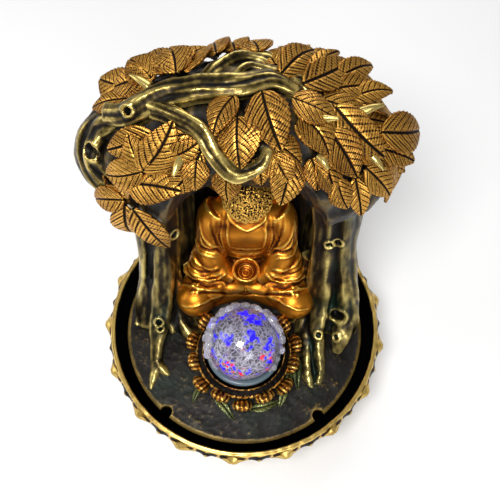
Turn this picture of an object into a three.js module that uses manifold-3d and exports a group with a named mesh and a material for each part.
// Tabletop water fountain: a seated figure under a leafy tree, on a rocky plate that stands in a
// lotus basin, with a lit glass ball rolling on water in a lotus cup and a small pump below.
// Millimetres, +Z up, +Y to the back. The origin is the middle of the basin's foot, on the table.
import * as THREE from 'three';
import { mergeVertices } from 'three/addons/utils/BufferGeometryUtils.js';
import Module from 'manifold-3d';

const wasm = await Module();
wasm.setup();

// ---------- Driving dimensions ----------
const gap = 0.3; // between pieces that are glued or that rest on each other
const smoothing = 0.14; // how far a face may move when small faces are merged
const slack = 0.08; // radial play of a pin or hose end in its hole

// Basin
const basinInnerRadius = 98;
const rimWidth = 3;
const petalCount = 17;
const petalReach = 5.5; // how far a big petal tip stands out past the rim
const petalTurn = -93.3; // degrees, where the first petal tip points
const floorRadius = 67;
const floorTop = 9;
const rimAbovePlate = 9;
const padRadius = 6;
const padHeight = 2.5;
const padCircle = 48;

// Pump, on the basin's floor under the ball
const pumpHeight = 24;
const pumpWidth = 42;
const pumpLength = 26;
const pumpHeadroom = 3;
const suctionCupHeight = 4;
const voluteLength = 14;
const spoutWall = 1.1;
const spoutLength = 9;
const impellerRadius = 9;
const impellerClearance = 1.2;
const magnetRadius = 6.2;
const magnetLength = 17;
const shaftRadius = 1.1;
const dialRadius = 8;

// Ground plate and its skirt
const rimGap = 8; // water gap between the plate and the basin's rim
const plateThickness = 5;
const plateRise = 5; // the plate is higher at its middle
const skirtRadius = 61;
const skirtWall = 4;
const windowWidth = 24;
const windowHeight = 18;
const notchRadius = 4.6;
const notchAngles = [51, 129, 231, 309];

// Ball, its seat, the lotus cup and the light
const ballRadius = 25;
const ballY = -30;
const ballBase = 12; // underside of the ball above the ground
const waterFilm = 0.4;
const seatWall = 4.3;
const seatDepth = 13.5; // how much of the ball is below the seat's edge
const cupWall = 3.5;
const cupHeight = 24;
const cupPetals = 13;
const hoseRadius = 5;
const hoseWall = 1.6;
const hoseSides = 20;
const ledThickness = 2;

// Figure
const figureY = 47;
const seatHeight = 12;
const haloRadius = 31;
const haloThickness = 3;
const bowlRadius = 10.5;
const bowlHeight = 13;

// Tree
const crownWidth = 180;
const crownDepth = 106;
const crownRise = 60; // from the crown's middle to its top, without the leaves
const crownHeight = 158; // the crown's middle above the ground
const crownSkirt = 11; // how far the crown goes down below its middle
const leafThickness = 2.4;
const wallLimbs = 7;
const wallRadius = 79.5; // the back wall's arc, about the fountain's middle
const wallArc = 28; // degrees to each side of the back

// ---------- Sizes that follow ----------
const plateRadius = basinInnerRadius - rimGap;
const pumpFoot = floorTop + suctionCupHeight;
const plateUnder = pumpFoot + pumpHeight + pumpHeadroom;
const ground = plateUnder + plateThickness + plateRise; // top of the plate at its middle
const rimTop = plateUnder + plateThickness + rimAbovePlate;
const ballZ = ballBase + ballRadius;
const seatTop = ballZ - (ballRadius - seatDepth);
const seatMouth = Math.sqrt((ballRadius + waterFilm) ** 2 - (ballZ - seatTop) ** 2);
const seatRadius = seatMouth + seatWall;
const cupInner = seatRadius + 2;
const cupOuter = cupInner + cupWall;
const crownMiddle = new THREE.Vector3(0, 45, crownHeight);
const crownRadii = new THREE.Vector3(crownWidth / 2, crownDepth / 2, crownRise);
const spoutRadius = hoseRadius - hoseWall - slack; // the hose is pushed over the pump's spout
const spoutBore = spoutRadius - spoutWall;

// ---------- Materials ----------
function paint(color, roughness, metalness, opacity = 1) {
  return new THREE.MeshStandardMaterial({
    color, roughness, metalness, opacity, transparent: opacity < 1,
  });
}
const antiqueGold = paint('#a97b2e', 0.4, 0.7);
const figureGold = paint('#c8801e', 0.3, 0.75);
const leafGold = paint('#c88a35', 0.4, 0.65);
const bark = paint('#6a5c34', 0.45, 0.5);
const earth = paint('#2a2118', 0.8, 0.1);
const rubber = paint('#1b1b1c', 0.9, 0);
const pumpPlastic = paint('#26282b', 0.5, 0);
const ceramic = paint('#e8e6df', 0.3, 0);
const steel = paint('#8d9094', 0.35, 1);
const seatPlastic = paint('#5a6a72', 0.45, 0);
const hoseVinyl = paint('#b9c2c4', 0.3, 0, 0.7);
const ledBoard = paint('#e9ecef', 0.5, 0);
const crackleGlass = paint('#cfd0ea', 0.08, 0, 0.5);

// ---------- Helpers ----------
const radians = THREE.MathUtils.degToRad;

// A closed three.js geometry as a solid that can be joined and cut.
function solid(geometry) {
  const bare = new THREE.BufferGeometry();
  bare.setAttribute('position', geometry.attributes.position.clone());
  if (geometry.index) bare.setIndex(geometry.index.clone());
  const merged = mergeVertices(bare, 1e-4);
  const corners = Array.from(merged.index.array);
  const kept = [];
  for (let i = 0; i < corners.length; i += 3) {
    const [a, b, c] = corners.slice(i, i + 3);
    if (a !== b && b !== c && c !== a) kept.push(a, b, c);
  }
  return new wasm.Manifold(new wasm.Mesh({
    numProp: 3,
    vertProperties: Float32Array.from(merged.attributes.position.array),
    triVerts: Uint32Array.from(kept),
  }));
}

const join = (solids) => wasm.Manifold.union(solids);

// The largest connected piece of a solid: a cut can leave crumbs.
function mainBody(shape) {
  const bodies = shape.decompose();
  bodies.sort((a, b) => b.volume() - a.volume());
  return bodies[0];
}

// Flat neighbours are merged, which may move a face by up to the smoothing.
function mesh(name, shape, material) {
  const { vertProperties, triVerts } = mainBody(shape).simplify(smoothing).getMesh();
  const geometry = new THREE.BufferGeometry();
  geometry.setAttribute('position', new THREE.Float32BufferAttribute(vertProperties, 3));
  geometry.setIndex(Array.from(triVerts));
  geometry.computeVertexNormals();
  const made = new THREE.Mesh(geometry, material);
  made.name = name;
  return made;
}

function lathe(profile, segments = 32) {
  const points = profile.map(([r, z]) => new THREE.Vector2(r, z));
  return new THREE.LatheGeometry(points, segments).rotateX(Math.PI / 2);
}

// A turned solid: profile of [radius, height] from the lowest point on the axis, or a closed ring.
const turned = (profile, x = 0, y = 0, z = 0, segments = 32) =>
  solid(lathe(profile, segments).translate(x, y, z));

const rod = (radius, z0, z1, x = 0, y = 0, segments = 16) =>
  turned([[0, z0], [radius, z0], [radius, z1], [0, z1]], x, y, 0, segments);

const ring = (inner, outer, z0, z1, x = 0, y = 0, segments = 20) =>
  turned([[inner, z0], [outer, z0], [outer, z1], [inner, z1], [inner, z0]], x, y, 0, segments);

// The same turned solid lying along +Y, from y0 to y1, about the point (x, z).
function rodAlongY(radius, y0, y1, x, z, segments = 16) {
  return solid(new THREE.CylinderGeometry(radius, radius, y1 - y0, segments)
    .translate(x, (y0 + y1) / 2, z));
}

const box = ([x0, y0, z0], [x1, y1, z1]) =>
  solid(new THREE.BoxGeometry(x1 - x0, y1 - y0, z1 - z0)
    .translate((x0 + x1) / 2, (y0 + y1) / 2, (z0 + z1) / 2));

// An ellipsoid; grow makes it larger all round, for the clearance that a neighbour needs.
function blob([x, y, z], [rx, ry, rz], grow = 0, wide = 10, high = 7) {
  return solid(new THREE.SphereGeometry(1, wide, high)
    .rotateX(Math.PI / 2)
    .scale(rx + grow, ry + grow, rz + grow)
    .translate(x, y, z));
}

// A round limb through points of [x, y, z, radius], as a bent and tapered cylinder.
function limb(points, grow = 0, sides = 7, stepsPerSpan = 1) {
  const ends = points.map(([x, y, z]) => new THREE.Vector3(x, y, z));
  const stretch = (end, next) => end.addScaledVector(end.clone().sub(next).normalize(), grow);
  stretch(ends[0], ends[1].clone());
  stretch(ends.at(-1), ends.at(-2).clone());
  const curve = new THREE.CatmullRomCurve3(ends, false, 'centripetal');
  const spans = points.length - 1;
  const steps = spans * stepsPerSpan;
  const geometry = new THREE.CylinderGeometry(1, 1, 1, sides, steps);
  const rings = [];
  let across = new THREE.Vector3(1, 0, 0);
  for (let i = 0; i <= steps; i++) {
    const t = i / steps;
    const tangent = curve.getTangent(t);
    across = across.clone().addScaledVector(tangent, -across.dot(tangent)).normalize();
    const span = Math.min(spans - 1, Math.floor(t * spans));
    const share = t * spans - span;
    const radius = THREE.MathUtils.lerp(points[span][3], points[span + 1][3], share) + grow;
    rings.push({ middle: curve.getPoint(t), across, side: across.clone().cross(tangent), radius });
  }
  const position = geometry.attributes.position;
  for (let i = 0; i < position.count; i++) {
    const at = rings[Math.round((position.getY(i) + 0.5) * steps)];
    const moved = at.middle.clone()
      .addScaledVector(at.across, position.getX(i) * at.radius)
      .addScaledVector(at.side, position.getZ(i) * at.radius);
    position.setXYZ(i, moved.x, moved.y, moved.z);
  }
  return solid(geometry);
}

// ---------- Places on the crown and on the plate ----------
// A point on the crown's outside: azimuth (-90 is the front) and height angle in degrees, and lift.
function onCrown(azimuth, elevation, lift = 0) {
  const a = radians(azimuth);
  const e = radians(elevation);
  const unit = new THREE.Vector3(
    Math.cos(e) * Math.cos(a), Math.cos(e) * Math.sin(a), Math.sin(e));
  const outward = unit.clone().divide(crownRadii).normalize();
  return unit.multiply(crownRadii).add(crownMiddle).addScaledVector(outward, lift);
}

// A point on the plate's top, given as an angle and a distance in from the plate's edge.
function onPlate(angle, inset, lift = 0) {
  const r = plateRadius - inset;
  const a = radians(angle);
  return [r * Math.cos(a), r * Math.sin(a), plateTopAt(r) + lift];
}

const plateSlopeStart = 40;
const plateTopAt = (r) =>
  -plateRise * Math.max(0, (r - plateSlopeStart) / (plateRadius - plateSlopeStart)) ** 1.5;

// ---------- Basin and feet ----------
const basin = new THREE.Group();
const outerFoot = 62;
const wallTopOuter = basinInnerRadius + rimWidth;
const petalPitch = 360 / petalCount;

// 1 at a petal's tip and 0 in the valley between two tips, with hollow flanks.
function petalShape(angle) {
  const turn = THREE.MathUtils.euclideanModulo(angle / petalPitch, 1);
  return Math.abs(2 * turn - 1) ** 1.8;
}

function makeBasin() {
  const profile = [
    [0, padHeight + 0.5], [outerFoot, padHeight + 0.5], [floorRadius + 6, floorTop - 2],
    [basinInnerRadius - 4, rimTop - 26], [wallTopOuter - 1.5, rimTop - 11],
    [wallTopOuter, rimTop - 4.5], [wallTopOuter - 0.5, rimTop],
    [basinInnerRadius, rimTop], [basinInnerRadius - 2, rimTop - 13],
    [floorRadius + 18, floorTop + 12], [floorRadius, floorTop], [0, floorTop],
  ];
  const geometry = lathe(profile, petalCount * 4);
  const position = geometry.attributes.position;
  const foldTop = rimTop - 3;
  for (let i = 0; i < position.count; i++) {
    const r = Math.hypot(position.getX(i), position.getY(i));
    const z = position.getZ(i);
    const outside = r > wallTopOuter - 2 && z < foldTop;
    if (!outside) continue;
    const angle = THREE.MathUtils.radToDeg(Math.atan2(position.getY(i), position.getX(i)));
    const height = 1 - Math.abs(z - (rimTop - 4.5)) / 12;
    const scale = (r + petalReach * petalShape(angle) * Math.max(0, height)) / r;
    position.setXY(i, position.getX(i) * scale, position.getY(i) * scale);
  }
  return mesh('basin', solid(geometry.rotateZ(radians(petalTurn))), antiqueGold);
}
basin.add(makeBasin());

const padPlaces = [45, 135, 225, 315];
padPlaces.forEach((angle, i) => {
  const x = padCircle * Math.cos(radians(angle));
  const y = padCircle * Math.sin(radians(angle));
  basin.add(mesh(`foot_pad_${i + 1}`, rod(padRadius, 0, padHeight + 0.5 - gap, x, y), rubber));
});

// ---------- Pump ----------
const pump = new THREE.Group();
const pumpTop = pumpFoot + pumpHeight;
const pumpAxisZ = pumpFoot + pumpHeight / 2;
const voluteBack = ballY + voluteLength / 2;
const voluteFront = ballY - voluteLength / 2;
const housingFront = voluteBack + gap;
const housingBack = housingFront + pumpLength;
const statorWidth = 30;
const statorHeight = pumpHeight - 8;
const statorLength = 7;
const rotorWellRadius = magnetRadius + 0.9;
const bushLength = 2.5;
const bushRadius = 2.6;
const wellBack = housingFront + magnetLength + 1.5;

function makePumpHousing() {
  const half = pumpWidth / 2;
  const body = box([-half, housingFront, pumpFoot], [half, housingBack, pumpTop]);
  const well = rodAlongY(rotorWellRadius, housingFront - 1, wellBack, 0, pumpAxisZ);
  const bushHole = rodAlongY(bushRadius, wellBack - 1, wellBack + 3, 0, pumpAxisZ);
  const pocket = box(
    [-statorWidth / 2, housingBack - statorLength, pumpAxisZ - statorHeight / 2],
    [statorWidth / 2, housingBack + 1, pumpAxisZ + statorHeight / 2]);
  return body.subtract(join([well, bushHole, pocket]));
}
pump.add(mesh('pump_housing', makePumpHousing(), pumpPlastic));

const capThickness = 2;
const pocketHalfX = statorWidth / 2 - gap;
const pocketHalfZ = statorHeight / 2 - gap;
pump.add(mesh('stator_core', box(
  [-pocketHalfX, housingBack - statorLength + gap, pumpAxisZ - pocketHalfZ],
  [pocketHalfX, housingBack - capThickness - gap, pumpAxisZ + pocketHalfZ]), steel));
pump.add(mesh('stator_cover', box(
  [-pocketHalfX, housingBack - capThickness, pumpAxisZ - pocketHalfZ],
  [pocketHalfX, housingBack, pumpAxisZ + pocketHalfZ]), pumpPlastic));

const chamberRadius = impellerRadius + impellerClearance;
const inletRadius = 4;
const chamberFront = voluteFront + 4;

function makeVolute() {
  const half = pumpWidth / 2 - 2;
  const body = box([-half, voluteFront, pumpFoot], [half, voluteBack, pumpTop]);
  const spout = rod(spoutRadius, pumpTop - 1, pumpTop + spoutLength, 0, ballY);
  const chamber = rodAlongY(chamberRadius, chamberFront, voluteBack + 1, 0, pumpAxisZ);
  const inlet = rodAlongY(inletRadius, voluteFront - 1, chamberFront + 1, 0, pumpAxisZ);
  const spoutHole = rod(spoutBore, pumpAxisZ, pumpTop + spoutLength + 1, 0, ballY);
  return body.add(spout).subtract(join([chamber, inlet, spoutHole]));
}
pump.add(mesh('volute_cover', makeVolute(), pumpPlastic));

const vaneCount = 6;
const vaneBack = voluteBack - 1.5;
const vaneFront = chamberFront + 1;
const magnetBack = vaneBack + magnetLength;

function makeImpeller() {
  const parts = [
    rodAlongY(impellerRadius, vaneBack - 2, vaneBack, 0, pumpAxisZ),
    rodAlongY(magnetRadius, vaneBack - 1, magnetBack, 0, pumpAxisZ),
    rodAlongY(3, vaneFront, vaneBack, 0, pumpAxisZ),
  ];
  for (let i = 0; i < vaneCount; i++) {
    const vane = new THREE.BoxGeometry(impellerRadius - 2.5, vaneBack - vaneFront, 1.2)
      .translate((impellerRadius + 1.5) / 2 + 0.3, (vaneBack + vaneFront) / 2, 0)
      .rotateY(i * 2 * Math.PI / vaneCount)
      .translate(0, 0, pumpAxisZ);
    parts.push(solid(vane));
  }
  const bore = rodAlongY(shaftRadius + slack, vaneFront - 1, magnetBack + 1, 0, pumpAxisZ);
  return join(parts).subtract(bore);
}
pump.add(mesh('impeller', makeImpeller(), ceramic));

const bushGap = 0.8;
const rearBushFront = magnetBack + bushGap;
const rearBushBack = rearBushFront + bushLength;
const frontBushBack = vaneFront - bushGap;
const frontBushFront = frontBushBack - bushLength;
function makeBush(front, back, open) {
  const body = rodAlongY(bushRadius - gap, front, back, 0, pumpAxisZ);
  const [from, to] = open === 'back' ? [front + 1, back + 1] : [front - 1, back - 1];
  return body.subtract(rodAlongY(shaftRadius + slack, from, to, 0, pumpAxisZ));
}
pump.add(mesh('rear_bush', makeBush(rearBushFront, rearBushBack, 'front'), rubber));
const shaftFront = frontBushFront + 1 + gap;
const shaftBack = rearBushBack - 1 - gap;
pump.add(mesh('impeller_shaft',
  rodAlongY(shaftRadius, shaftFront, shaftBack, 0, pumpAxisZ), ceramic));

const grilleThickness = 2.5;
const grilleBack = voluteFront - gap;
const grilleFront = grilleBack - grilleThickness;
const slotCount = 5;
function makeGrille() {
  const half = pumpWidth / 2 - 4;
  const bars = box([-half, grilleFront, pumpFoot + 2], [half, grilleBack, pumpTop - 2]);
  const slots = [rodAlongY(inletRadius - 1, grilleFront - 1, grilleBack + 1, 0, pumpAxisZ)];
  const slotPitch = 5.2;
  for (const side of [-1, 1]) {
    for (let i = 0; i < slotCount - 2; i++) {
      const x = side * (dialRadius - 2 + i * slotPitch * 0.8);
      slots.push(box([x - 1.1, grilleFront - 1, pumpFoot + 5], [x + 1.1, grilleBack + 1, pumpTop - 5]));
    }
  }
  return bars.subtract(join(slots));
}
pump.add(mesh('intake_grille', makeGrille(), pumpPlastic));

// Spider in the inlet that holds the shaft's front bush.
function makeFrontBushHolder() {
  const hub = rodAlongY(bushRadius + 0.6, frontBushFront, frontBushBack, 0, pumpAxisZ);
  const arm = box([-inletRadius + gap, frontBushFront, pumpAxisZ - 0.6],
    [inletRadius - gap, frontBushBack, pumpAxisZ + 0.6]);
  const hole = rodAlongY(shaftRadius + slack, frontBushFront + 1, frontBushBack + 1, 0, pumpAxisZ);
  return hub.add(arm).subtract(hole);
}
pump.add(mesh('front_bush', makeFrontBushHolder(), rubber));

const dialBack = grilleFront - 0.4;
function makeDial() {
  const disc = rodAlongY(dialRadius, dialBack - 2, dialBack, 0, pumpAxisZ);
  const knob = box([-1.5, dialBack - 5, pumpAxisZ - 6], [1.5, dialBack - 1, pumpAxisZ + 6]);
  const ports = [-1, 1].map((side) =>
    rodAlongY(2, dialBack - 3, dialBack + 1, side * 4.6, pumpAxisZ, 12));
  return disc.add(knob).subtract(join(ports));
}
pump.add(mesh('flow_dial', makeDial(), pumpPlastic));

let cupNumber = 0;
for (const x of [-1, 1]) {
  for (const y of [voluteFront + 6, housingBack - 6]) {
    cupNumber += 1;
    const top = pumpFoot - gap;
    const foot = floorTop + gap;
    const cup = turned([[0, foot + 1.6], [3.5, foot], [5, foot], [2, foot + 2.2], [2, top], [0, top]],
      x * (pumpWidth / 2 - 8), y, 0, 12);
    pump.add(mesh(`suction_cup_${cupNumber}`, cup, rubber));
  }
}
const glandLength = 7;
const glandX = pumpWidth / 2 - 3.5;
function makeGland() {
  const body = rodAlongY(3, housingBack + gap, housingBack + gap + glandLength, glandX, pumpAxisZ);
  const hole = rodAlongY(1.8, housingBack + 2, housingBack + glandLength + 2, glandX, pumpAxisZ);
  return body.subtract(hole);
}
pump.add(mesh('cable_gland', makeGland(), rubber));

// ---------- Raw shapes of the statue, in its own frame: z = 0 is the plate's top ----------
// Each takes the clearance to grow by, so that a neighbour can be cut back from it.
const shapes = {};

shapes.plate = (grow) => {
  const r = plateRadius;
  const under = -plateRise - plateThickness;
  const skirtFoot = floorTop + gap - ground;
  const inner = skirtRadius - skirtWall;
  return turned([
    [0, under], [inner, under], [inner, skirtFoot], [skirtRadius, skirtFoot],
    [skirtRadius, under], [r - 2, under], [r + grow, under + 1.5],
    [r + grow, plateTopAt(r) - 1 + grow], [r - 2, plateTopAt(r - 2) + grow],
    [(r + plateSlopeStart) / 2, plateTopAt((r + plateSlopeStart) / 2) + grow],
    [plateSlopeStart, grow], [0, grow],
  ], 0, 0, 0, 40);
};

const bowlY = figureY - 25;
const bowlFoot = seatHeight + 24;
shapes.bowl = (grow) => turned([
  [0, bowlFoot - grow], [5 + grow, bowlFoot - grow], [bowlRadius + grow, bowlFoot + 6],
  [bowlRadius - 1 + grow, bowlFoot + bowlHeight + grow], [0, bowlFoot + bowlHeight + grow],
], 0, bowlY, 0, 24);

// A point of the figure, measured from the middle of its seat.
const body = (x, y, z) => [x, figureY + y, seatHeight + z];
const sides = [-1, 1];

shapes.figure = (grow) => {
  const parts = [
    blob(body(0, 1, 16), [29, 20, 15.7], grow),
    blob(body(0, 0, 50), [26, 19, 32], grow),
    blob(body(0, 2, 73), [33, 13, 13], grow),
    limb([[...body(0, 2, 78), 9], [...body(0, -2, 92), 7.5]], grow),
    blob(body(0, -6, 101), [14.5, 16.5, 18.5], grow),
    blob(body(0, -1, 117), [8, 8, 8], grow, 8, 6),
    limb([[...body(-34, -36, 12), 11.5], [...body(-14, -30, 9), 9], [...body(0, -27, 9), 8.6],
      [...body(14, -30, 9), 9], [...body(34, -36, 12), 11.5]], grow),
  ];
  for (const side of sides) {
    parts.push(limb([[...body(side * 14, 2, 16), 15], [...body(side * 35, -36, 13.2), 13]], grow));
    parts.push(blob(body(side * 36, -39, 13.2), [13, 13, 13], grow));
    parts.push(limb([[...body(side * 24, 2, 74), 9], [...body(side * 33, -7, 46), 9.5]], grow));
    parts.push(limb([[...body(side * 33, -6, 45), 10], [...body(side * 22, -20, 32), 9],
      [...body(side * 9, -27, 28), 6]], grow));
    parts.push(blob(body(side * 14.5, -5, 98), [2.5, 5, 9], grow, 6, 4));
  }
  return join(parts);
};

shapes.halo = (grow) => {
  const middle = new THREE.Vector3(...body(0, 15.5, 98));
  return solid(new THREE.CylinderGeometry(
    haloRadius + grow, haloRadius + grow, haloThickness + 2 * grow, 32)
    .translate(middle.x, middle.y, middle.z));
};

shapes.seat = (grow) => {
  const parts = [blob([0, figureY - 12, 3], [47, 41, seatHeight - 3], grow, 16, 6)];
  for (const side of sides) {
    parts.push(blob([side * 38, figureY - 34, 2], [16, 14, 9], grow, 8, 4));
    parts.push(blob([side * 34, figureY + 4, 3], [16, 18, 10], grow, 8, 4));
  }
  return join(parts);
};

const cupLift = gap;
shapes.cup = (grow) => {
  const wall = [
    [0, cupLift - grow], [cupOuter - 8, cupLift - grow], [cupOuter - 3 + grow, cupLift + 8],
    [cupOuter + grow, cupHeight - 3], [cupOuter + grow, cupHeight + grow], [0, cupHeight + grow],
  ];
  const parts = [turned(wall, 0, ballY, 0, 24)];
  for (let i = 0; i < cupPetals; i++) {
    const a = radians(-90 + i * 360 / cupPetals);
    const r = cupOuter - 1;
    parts.push(blob([r * Math.cos(a), ballY + r * Math.sin(a), cupHeight - 5],
      [7, 7, 7.5], grow, 6, 4));
  }
  return join(parts);
};

// Left trunk, right trunk and the back wall. Their feet follow the plate's edge.
shapes.trunkLeft = (grow) => join([
  limb([[...onPlate(162, 27, -3), 12], [-60, 22, 26, 11], [-58, 30, 60, 11], [-57, 38, 100, 11],
    [-56, 44, 150, 11]], grow),
  limb([[...onPlate(176, 12, -3), 7], [-74, 13, 17, 8], [-68, 26, 45, 9], [-67, 35, 90, 10],
    [-68, 42, 150, 10]], grow),
  limb([[...onPlate(135, 20, -3), 12], [-48, 50, 45, 11], [-47, 54, 95, 10], [-42, 56, 150, 10]],
    grow),
  limb([[-60, 16, 42, 8], [-61, 3, 24, 8], [-63, -9, 13, 7], [-65, -20, 6, 5.5],
    [...onPlate(207, 17, 0), 4.5], [...onPlate(218, 4, 0), 2.4]], grow),
  limb([[...onPlate(206, 18, 0), 4.5], [...onPlate(213, 20, 0), 3.6],
    [...onPlate(218, 21, -0.5), 2.4]], grow),
]);

shapes.trunkRight = (grow) => join([
  limb([[...onPlate(14, 33, -3), 9], [55, 14, 25, 9], [55, 26, 60, 10], [53, 37, 100, 10],
    [46, 45, 150, 10]], grow),
  limb([[63, 42, 150, 9], [65, 36, 100, 11], [66, 30, 72, 11], [70, 20, 45, 10],
    [77, 9, 24, 8.5], [79, 2, 14, 8.5], [75, -12, 6, 6.5], [...onPlate(343, 17, 0), 3.5]], grow),
  limb([[...onPlate(38, 20, -3), 12], [52, 50, 45, 11], [52, 54, 95, 10], [48, 54, 150, 10]],
    grow),
  limb([[56, 10, 24, 7], [54, -8, 11, 6], [56, -22, 5, 5], [...onPlate(327, 22, 0), 4],
    [...onPlate(320, 18, 0), 2.6]], grow),
]);

shapes.wall = (grow) => {
  const parts = [];
  for (let i = 0; i < wallLimbs; i++) {
    const angle = radians(90 - wallArc + i * 2 * wallArc / (wallLimbs - 1));
    const x = wallRadius * Math.cos(angle);
    const y = wallRadius * Math.sin(angle);
    parts.push(limb([[x, y, -8, 9], [x, y - 1, 60, 8], [x, y - 2, 150, 9]], grow));
  }
  return join(parts);
};

// Crown: the solid heart of the canopy, with a recess over the figure's face.
shapes.crown = (grow) => {
  const heart = blob(crownMiddle.toArray(), crownRadii.toArray(), grow, 20, 10);
  const underside = crownHeight - crownSkirt - grow;
  const below = box([-200, -200, -200], [200, 200, underside]);
  const recess = blob([0, -12, underside + 6], [36 - grow, 27 - grow, 34 - grow], 0, 14, 8);
  return heart.subtract(join([below, recess]));
};

// ---------- Branches over the crown: [azimuth, elevation, lift, radius] ----------
const branchPaths = {
  branch_main: [[178, 34, 0, 7], [-171, 46, 1, 6.5], [-176, 61, 2, 6.5], [-172, 74, 3, 6],
    [-148, 85, 3, 6], [30, 82, 2, 5], [0, 74, 0, 3.5]],
  branch_fork: [[-168, 55, 2, 4.5], [-150, 60, 3, 4.5], [-122, 60, 5, 4.2], [-106, 51, 6, 4],
    [-95, 43, 6, 3.6], [-84, 47, 5, 3], [-78, 55, 3, 2.4]],
  branch_left: [[178, 38, -2, 8], [175, 22, 2, 9.5], [-176, 8, 4, 10], [-164, -2, 2, 9],
    [-153, -8, -4, 6]],
  branch_ridge: [[160, 70, 2, 6], [122, 66, 4, 7], [98, 56, 5, 7.5], [80, 55, 4, 7],
    [62, 62, 0, 5]],
  branch_curl: [[140, 82, 2, 4.5], [92, 74, 4, 5], [55, 74, 3, 4.6], [30, 68, 2, 4.2],
    [8, 66, 0, 3.4]],
};
for (const [name, path] of Object.entries(branchPaths)) {
  const points = path.map(([a, e, lift, r]) => [...onCrown(a, e, lift).toArray(), r]);
  shapes[name] = (grow) => limb(points, grow, 7, 2);
}

// ---------- Leaf sprays: each leaf is [base azimuth, base elevation, tip azimuth, tip
// elevation, width, base lift, tip lift] ----------
const sprays = {
  spray_top_left: [[163, 40, 150, 22, 26, 3, 9], [162, 52, 142, 34, 22, 5, 8],
    [156, 62, 128, 38, 25, 5, 8], [150, 60, 114, 42, 16, 3, 5], [170, 40, 160, 24, 10, 3, 7]],
  spray_left: [[-134, 32, -140, 58, 24, 6, 8], [-134, 32, -155, 42, 18, 5, 6],
    [-135, 30, -150, 16, 22, 4, 7], [-138, 20, -116, 30, 24, 4, 7], [-128, 42, -118, 56, 14, 3, 3]],
  spray_low_left: [[-140, 4, -156, -8, 13, 3, 9], [-139, 0, -141, -32, 18, 4, 12],
    [-134, 2, -126, -30, 18, 4, 11]],
  spray_centre: [[-118, 80, -112, 60, 18, 7, 9], [-60, 82, -72, 54, 26, 8, 8],
    [-100, 70, -93, 46, 28, 7, 8]],
  spray_front: [[-112, 46, -106, 30, 15, 4, 3], [-97, 42, -95, 26, 18, 3, 2],
    [-78, 50, -77, 32, 18, 4, 3], [-88, 40, -86, 26, 14, 2, 2]],
  spray_top_right: [[8, 72, 42, 42, 21, 6, 6], [45, 75, 58, 45, 20, 3, 5], [34, 66, 50, 42, 12, 2, 8],
    [22, 58, 34, 32, 16, 4, 10], [14, 60, 20, 40, 16, 2, 3]],
  spray_right: [[-30, 74, -27, 57, 24, 7, 8], [-44, 66, -50, 46, 23, 5, 7],
    [-16, 60, -27, 32, 22, 6, 8], [-14, 38, 2, 14, 26, 6, 10], [8, 52, 12, 34, 10, 3, 6],
    [-22, 34, -17, 16, 14, 2, 5], [-38, 55, -44, 31, 24, 5, 7]],
  spray_low_right: [[-58, 46, -62, 30, 15, 2, 4], [-52, 32, -52, 14, 16, 3, 5],
    [-44, 28, -47, 6, 13, 3, 8], [-36, 30, -31, 8, 18, 3, 8]],
};

// Round the back, leaves hang in three rows of even sprays.
const backSprays = { spray_back_right: 38, spray_back: 78, spray_back_left: 118 };
for (const [name, start] of Object.entries(backSprays)) {
  const leaves = [];
  for (let i = 0; i < 3; i++) {
    const azimuth = start - 14 + i * 14;
    leaves.push([azimuth, 20, azimuth + 3, -10, 22, 4, 8]);
  }
  sprays[name] = leaves;
}

// One leaf as a pointed plate from its base to its tip.
function leaf([baseAzimuth, baseElevation, tipAzimuth, tipElevation, width, lift, tipLift], grow) {
  const base = onCrown(baseAzimuth, baseElevation, lift);
  const tip = onCrown(tipAzimuth, tipElevation, tipLift);
  const middle = onCrown(baseAzimuth, baseElevation).lerp(onCrown(tipAzimuth, tipElevation), 0.5);
  const length = base.distanceTo(tip) + 2 * grow;
  const half = width / 2 + grow;
  const outline = new THREE.Shape();
  outline.moveTo(-1.2, 0);
  outline.lineTo(1.2, 0);
  outline.lineTo(half, length * 0.45);
  outline.lineTo(0, length);
  outline.lineTo(-half, length * 0.45);
  const depth = leafThickness + 2 * grow;
  const plate = new THREE.ExtrudeGeometry(outline, { depth, bevelEnabled: false })
    .translate(0, -grow, -depth / 2);
  const along = tip.clone().sub(base).normalize();
  const outward = middle.sub(crownMiddle).divide(crownRadii).divide(crownRadii).normalize();
  const across = along.clone().cross(outward).normalize();
  outward.crossVectors(across, along);
  const place = new THREE.Matrix4().makeBasis(across, along, outward).setPosition(base);
  return solid(plate.applyMatrix4(place));
}

const twigRadius = 2.4;
for (const [name, leaves] of Object.entries(sprays)) {
  shapes[name] = (grow) => {
    const bases = leaves.map(([a, e, , , , lift]) => [...onCrown(a, e, lift).toArray(), twigRadius]);
    const twigs = bases.slice(1).map((base, i) => limb([bases[i], base], grow, 4, 1));
    return join([...twigs, ...leaves.map((one) => leaf(one, grow))]);
  };
}

// ---------- The statue, assembled ----------
// Each piece is cut back by the ones before it in its list, grown by the gap.
const statue = new THREE.Group();
statue.position.z = ground;

function fitted(name, neighbours) {
  let shape = shapes[name](0);
  for (const neighbour of neighbours) shape = shape.subtract(shapes[neighbour](gap));
  return shape;
}

const sprayNames = Object.keys(sprays);
const branchNames = Object.keys(branchPaths);
const glassBall = blob([0, ballY, ballZ], [ballRadius, ballRadius, ballRadius], 0, 20, 12);

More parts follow.
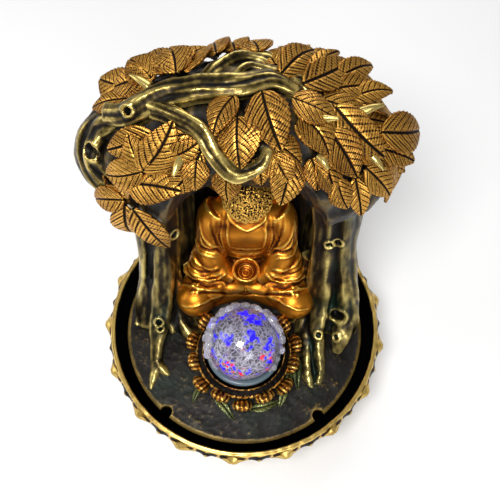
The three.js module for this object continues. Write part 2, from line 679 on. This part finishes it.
function makePlate() {
  const hoseHole = rod(hoseRadius + 1, -30, 5, 0, ballY, 12);
  const cuts = [hoseHole];
  for (const angle of notchAngles) {
    const [x, y] = onPlate(angle, 2);
    cuts.push(rod(notchRadius, -30, 10, x, y, 10));
  }
  const windowFoot = floorTop - ground;
  const arch = new THREE.Shape();
  arch.moveTo(-windowWidth / 2, -1);
  arch.lineTo(windowWidth / 2, -1);
  arch.lineTo(windowWidth / 2, windowHeight - 6);
  arch.quadraticCurveTo(windowWidth / 2, windowHeight, 0, windowHeight);
  arch.quadraticCurveTo(-windowWidth / 2, windowHeight, -windowWidth / 2, windowHeight - 6);
  for (const angle of [0, 90, 180, 270]) {
    const opening = new THREE.ExtrudeGeometry(arch, { depth: 12, bevelEnabled: false, curveSegments: 2 })
      .rotateX(Math.PI / 2)
      .translate(0, skirtRadius + 6, windowFoot)
      .rotateZ(radians(angle - 90));
    cuts.push(solid(opening));
  }
  return shapes.plate(0).subtract(join(cuts));
}
statue.add(mesh('ground_plate', makePlate(), earth));

// Lotus cup: hollow for the ball seat, with a floor that carries the light ring.
const cupFloor = 4;
function makeCup() {
  const hollow = turned([[0, cupFloor], [cupInner - 6, cupFloor], [cupInner, cupFloor + 9],
    [cupInner, cupHeight + 20], [0, cupHeight + 20]], 0, ballY, 0, 24);
  const hoseHole = rod(hoseRadius + 0.6, -5, cupFloor + 1, 0, ballY);
  return fitted('cup', ['figure', 'plate']).subtract(join([hollow, hoseHole]));
}
statue.add(mesh('lotus_cup', makeCup(), antiqueGold));

// Ball seat: a grey bowl whose inside follows the ball, with a water film between.
function makeBallSeat() {
  const seatFoot = ballBase - 3.5;
  const outside = turned([[0, seatFoot], [hoseRadius + 5, seatFoot], [seatRadius - 7, seatFoot + 4],
    [seatRadius - 1.5, seatTop - 6], [seatRadius, seatTop], [0, seatTop]], 0, ballY, 0, 28);
  const bed = ballRadius + waterFilm;
  const film = blob([0, ballY, ballZ], [bed, bed, bed], 0, 24, 12);
  const nozzle = rod(hoseRadius - hoseWall, seatFoot - 1, ballZ, 0, ballY);
  const socket = rod(hoseRadius + slack, seatFoot - 1, seatFoot + 2, 0, ballY, hoseSides);
  return outside.subtract(join([film, nozzle, socket]));
}
statue.add(mesh('ball_seat', makeBallSeat(), seatPlastic));

const ledZ = cupFloor + gap;
const ledInner = hoseRadius + 1.5;
const ledOuter = cupInner - 12;
statue.add(mesh('led_ring', ring(ledInner, ledOuter, ledZ, ledZ + ledThickness, 0, ballY), ledBoard));
const lensZ = ledZ + ledThickness + gap;
statue.add(mesh('led_lens',
  ring(ledInner, ledOuter, lensZ, ballBase - 3.5 - gap, 0, ballY), crackleGlass));

const hoseFoot = pumpTop + 1 - ground;
const hoseTop = ballBase - 3.5 + 2 - gap;
statue.add(mesh('riser_hose',
  ring(hoseRadius - hoseWall, hoseRadius, hoseFoot, hoseTop, 0, ballY, hoseSides), hoseVinyl));
statue.add(mesh('crystal_ball', glassBall, crackleGlass));

const bowlHollow = turned([[0, bowlFoot + 5], [5, bowlFoot + 6], [bowlRadius - 3, bowlFoot + 9],
  [bowlRadius - 3, bowlFoot + bowlHeight + 2], [0, bowlFoot + bowlHeight + 2]], 0, bowlY, 0, 24);
statue.add(mesh('alms_bowl', shapes.bowl(0).subtract(bowlHollow), figureGold));
statue.add(mesh('seated_figure', fitted('figure', ['bowl']), figureGold));
statue.add(mesh('halo_disc', fitted('halo', ['figure']), figureGold));
statue.add(mesh('seat_rock', fitted('seat', ['figure', 'cup', 'plate']), earth));

const crownParts = [...branchNames, ...sprayNames];
branchNames.forEach((name, i) => {
  statue.add(mesh(name, fitted(name, branchNames.slice(0, i)), bark));
});
sprayNames.forEach((name, i) => {
  statue.add(mesh(name, fitted(name, [...branchNames, ...sprayNames.slice(0, i)]), leafGold));
});
statue.add(mesh('crown_heart', fitted('crown', [...crownParts, 'figure', 'halo']), bark));

const inTheWay = ['figure', 'halo', 'seat', 'cup', 'plate', 'crown', ...crownParts];
statue.add(mesh('trunk_left', fitted('trunkLeft', inTheWay), bark));
statue.add(mesh('trunk_right', fitted('trunkRight', inTheWay), bark));
statue.add(mesh('grotto_wall', fitted('wall', [...inTheWay, 'trunkLeft', 'trunkRight']), bark));

const fountain = new THREE.Group();
fountain.add(basin, pump, statue);
export default fountain;
